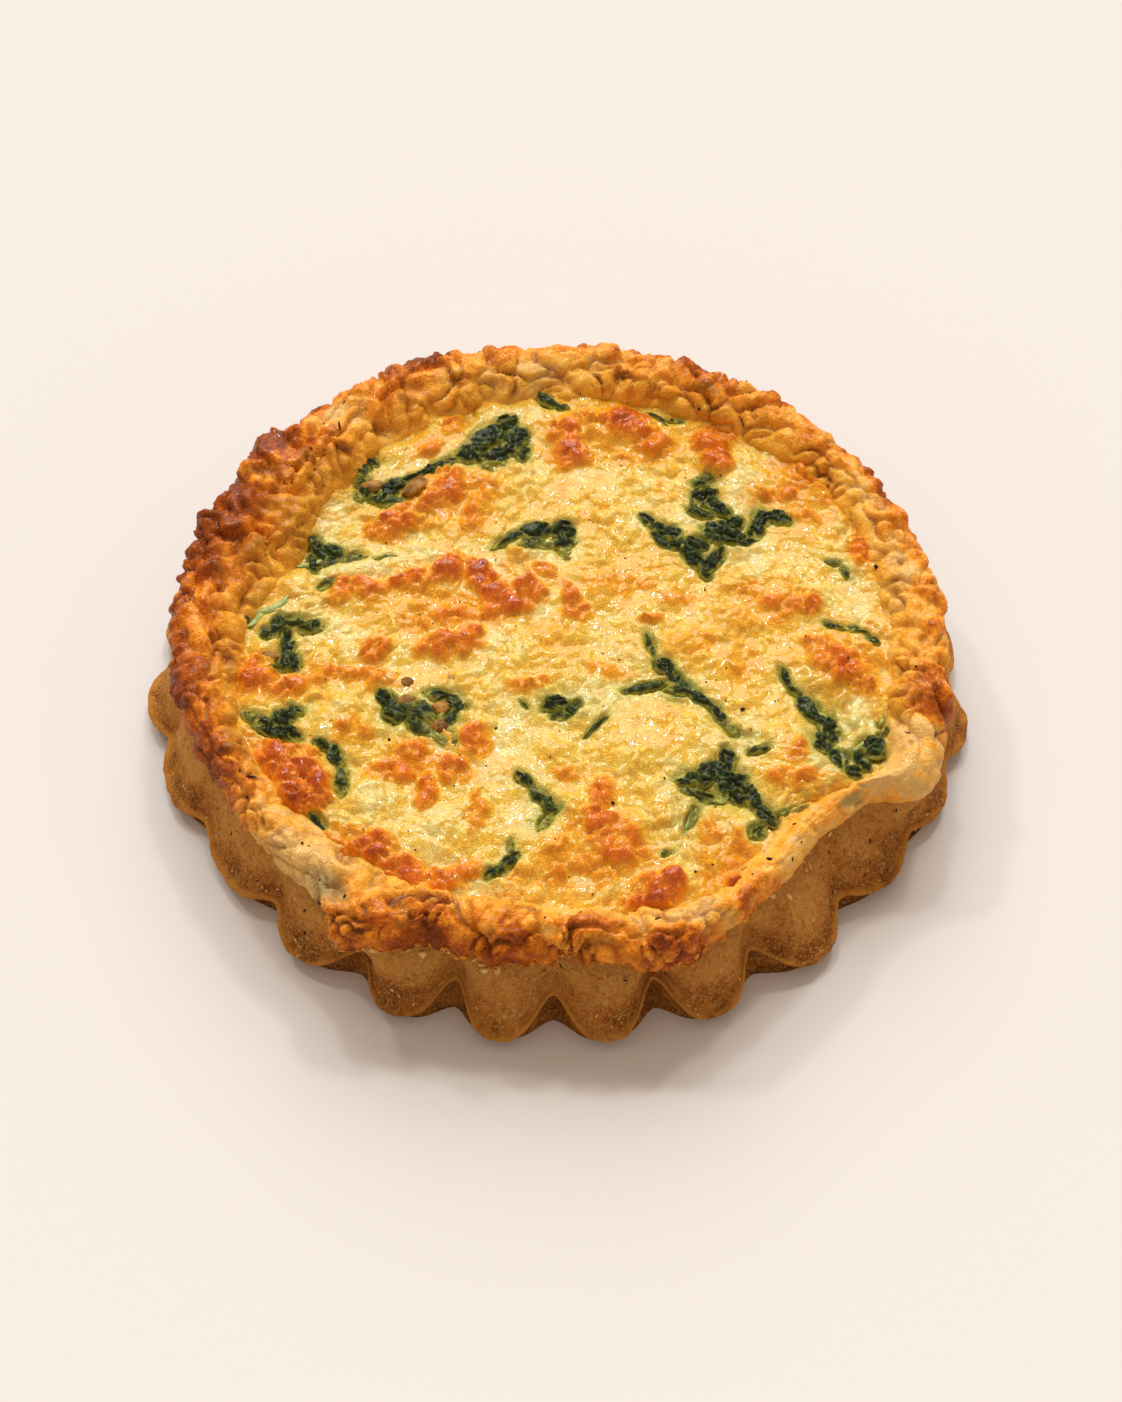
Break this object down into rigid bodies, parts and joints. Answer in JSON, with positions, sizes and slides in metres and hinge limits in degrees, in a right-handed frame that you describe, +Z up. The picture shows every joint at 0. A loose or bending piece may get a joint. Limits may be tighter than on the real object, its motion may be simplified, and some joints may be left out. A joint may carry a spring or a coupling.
{
  "type": "spinach quiche",
  "caption": "Round savoury quiche: fluted pastry crust with a lumpy browned rim, baked custard filling and spinach clumps sunk in its top.",
  "frame": {"origin": "middle of the flat underside, on the surface that the quiche stands on", "axes": "+Z up through the filling; +Y to the back, where the rim is tallest; -Y to the near side, with its rolled browned edge"},
  "size_m": [0.1516, 0.1504, 0.0262],
  "materials": {
    "pastry": "dry baked pastry, tan walls and browned rim",
    "custard": "moist baked egg and cheese, golden to orange-brown patches",
    "spinach": "cooked leaf, dark green, satin"
  },
  "bodies": {
    "root": {"crust": "pastry", "filling": "custard", "spinach_01": "spinach", "spinach_02": "spinach", "spinach_03": "spinach", "spinach_04": "spinach", "spinach_05": "spinach", "spinach_06": "spinach", "spinach_07": "spinach", "spinach_08": "spinach", "spinach_09": "spinach", "spinach_10": "spinach", "spinach_11": "spinach", "spinach_12": "spinach", "spinach_13": "spinach", "spinach_14": "spinach", "spinach_15": "spinach", "spinach_16": "spinach", "spinach_17": "spinach", "spinach_18": "spinach", "spinach_19": "spinach"}
  },
  "joints": []
}
